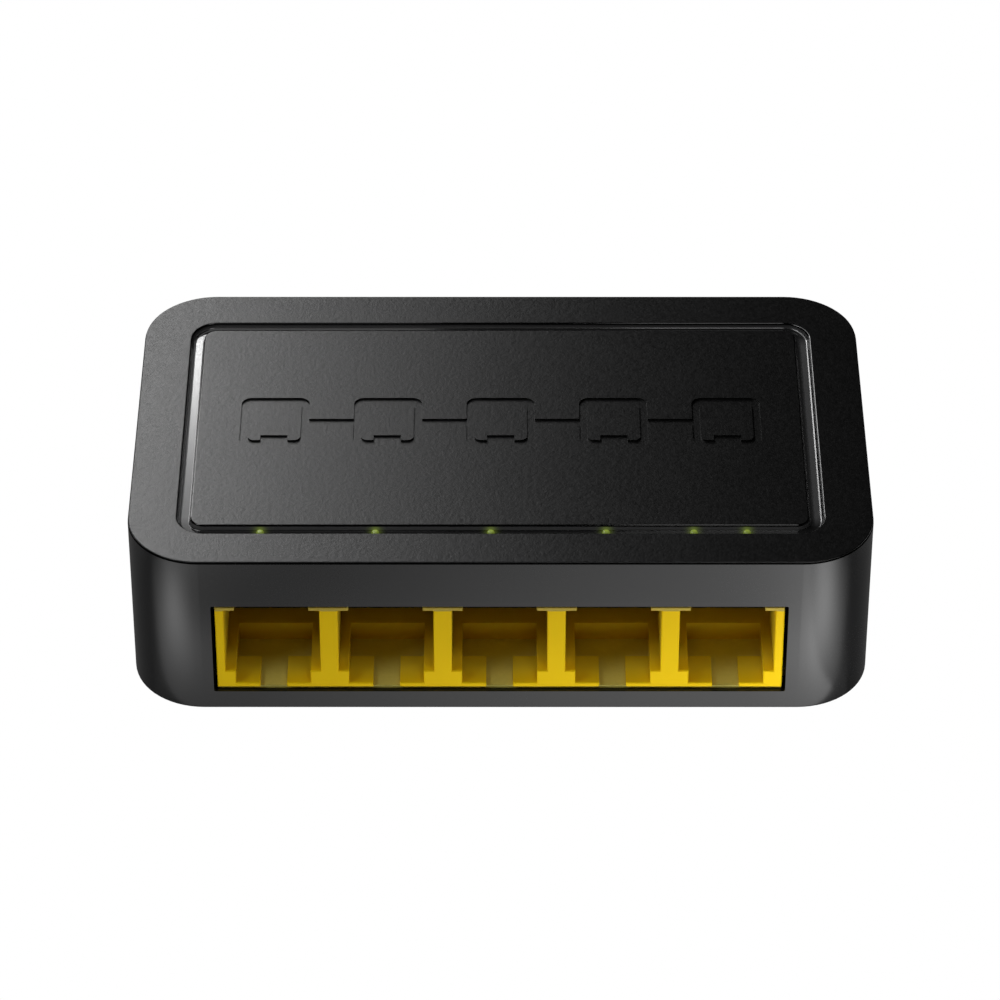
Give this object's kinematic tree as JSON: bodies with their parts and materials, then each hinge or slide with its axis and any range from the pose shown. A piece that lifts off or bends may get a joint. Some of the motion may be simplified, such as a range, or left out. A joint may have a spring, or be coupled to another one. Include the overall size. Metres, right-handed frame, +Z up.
{
  "type": "desktop network switch",
  "caption": "Low rounded desktop network switch with a row of network sockets on the front, indicator lights in a groove round its top panel and a power inlet at the back.",
  "frame": {"origin": "centre of the footprint, in the plane under the rubber feet", "axes": "+Z up, -Y out of the face with the network sockets, +X to the right when looking at that face"},
  "size_m": [0.0914, 0.0554, 0.024],
  "materials": {
    "case_plastic": "fine matte grain, glossy groove",
    "label_film": "satin blank film",
    "screw_steel": "zinc plated",
    "board_laminate": "pale solder mask",
    "yellow_plastic": "satin moulded yellow",
    "carrier_plastic": "matte dark moulding",
    "contact_gold": "gold plated",
    "module_epoxy": "matte moulding",
    "chip_epoxy": "matte moulding",
    "crystal_can": "satin can",
    "capacitor_can": "satin can",
    "ferrite": "ferrite grey",
    "ceramic_tan": "ceramic",
    "resistor_black": "ceramic, glazed",
    "inlet_plastic": "satin moulding",
    "terminal_metal": "nickel plated",
    "guide_clear": "clear moulding, glowing tips",
    "light_package": "pale package",
    "foot_rubber": "matte rubber"
  },
  "bodies": {
    "root": {"bypass_capacitors": "ceramic_tan", "case_base": "case_plastic", "case_screws": "screw_steel", "circuit_board": "board_laminate", "clock_crystal": "crystal_can", "contact_carrier_1": "carrier_plastic", "contact_carrier_2": "carrier_plastic", "contact_carrier_3": "carrier_plastic", "contact_carrier_4": "carrier_plastic", "contact_carrier_5": "carrier_plastic", "contact_tails_1": "contact_gold", "contact_tails_2": "contact_gold", "contact_tails_3": "contact_gold", "contact_tails_4": "contact_gold", "contact_tails_5": "contact_gold", "converter_chip": "chip_epoxy", "foot_front_left": "foot_rubber", "foot_front_right": "foot_rubber", "foot_rear_left": "foot_rubber", "foot_rear_right": "foot_rubber", "indicator_light_1": "light_package", "indicator_light_2": "light_package", "indicator_light_3": "light_package", "indicator_light_4": "light_package", "indicator_light_5": "light_package", "indicator_light_6": "light_package", "inlet_body": "inlet_plastic", "inlet_pin": "terminal_metal", "inlet_terminal": "terminal_metal", "input_diode": "chip_epoxy", "light_guide": "guide_clear", "line_resistors": "resistor_black", "magnetics_module_1": "module_epoxy", "magnetics_module_2": "module_epoxy", "magnetics_module_3": "module_epoxy", "magnetics_module_4": "module_epoxy", "magnetics_module_5": "module_epoxy", "power_inductor": "ferrite", "rating_label": "label_film", "socket_housing": "yellow_plastic", "supply_capacitor_1": "capacitor_can", "supply_capacitor_2": "capacitor_can", "switch_chip": "chip_epoxy", "top_cover": "case_plastic"},
    "contacts_1": {"contact_springs_1": "contact_gold"},
    "contacts_2": {"contact_springs_2": "contact_gold"},
    "contacts_3": {"contact_springs_3": "contact_gold"},
    "contacts_4": {"contact_springs_4": "contact_gold"},
    "contacts_5": {"contact_springs_5": "contact_gold"},
    "inlet_leaf": {"inlet_leaf_spring": "terminal_metal"}
  },
  "joints": [
    {"name": "contact_flex_1", "type": "hinge", "parent": "root", "child": "contacts_1", "pos_m": [-0.02807, -0.0216, 0.01335], "axis": [1, 0, 0], "range_deg": [0, 18], "stiffness_Nm_per_rad": 0.2},
    {"name": "contact_flex_2", "type": "hinge", "parent": "root", "child": "contacts_2", "pos_m": [-0.0141, -0.0216, 0.01335], "axis": [1, 0, 0], "range_deg": [0, 18], "stiffness_Nm_per_rad": 0.2},
    {"name": "contact_flex_3", "type": "hinge", "parent": "root", "child": "contacts_3", "pos_m": [-0.00013, -0.0216, 0.01335], "axis": [1, 0, 0], "range_deg": [0, 18], "stiffness_Nm_per_rad": 0.2},
    {"name": "contact_flex_4", "type": "hinge", "parent": "root", "child": "contacts_4", "pos_m": [0.01384, -0.0216, 0.01335], "axis": [1, 0, 0], "range_deg": [0, 18], "stiffness_Nm_per_rad": 0.2},
    {"name": "contact_flex_5", "type": "hinge", "parent": "root", "child": "contacts_5", "pos_m": [0.02781, -0.0216, 0.01335], "axis": [1, 0, 0], "range_deg": [0, 18], "stiffness_Nm_per_rad": 0.2},
    {"name": "inlet_leaf_flex", "type": "hinge", "parent": "root", "child": "inlet_leaf", "pos_m": [0.028, 0.0179, 0.00672], "axis": [-1, 0, 0], "range_deg": [0, 3.5], "stiffness_Nm_per_rad": 0.3}
  ]
}
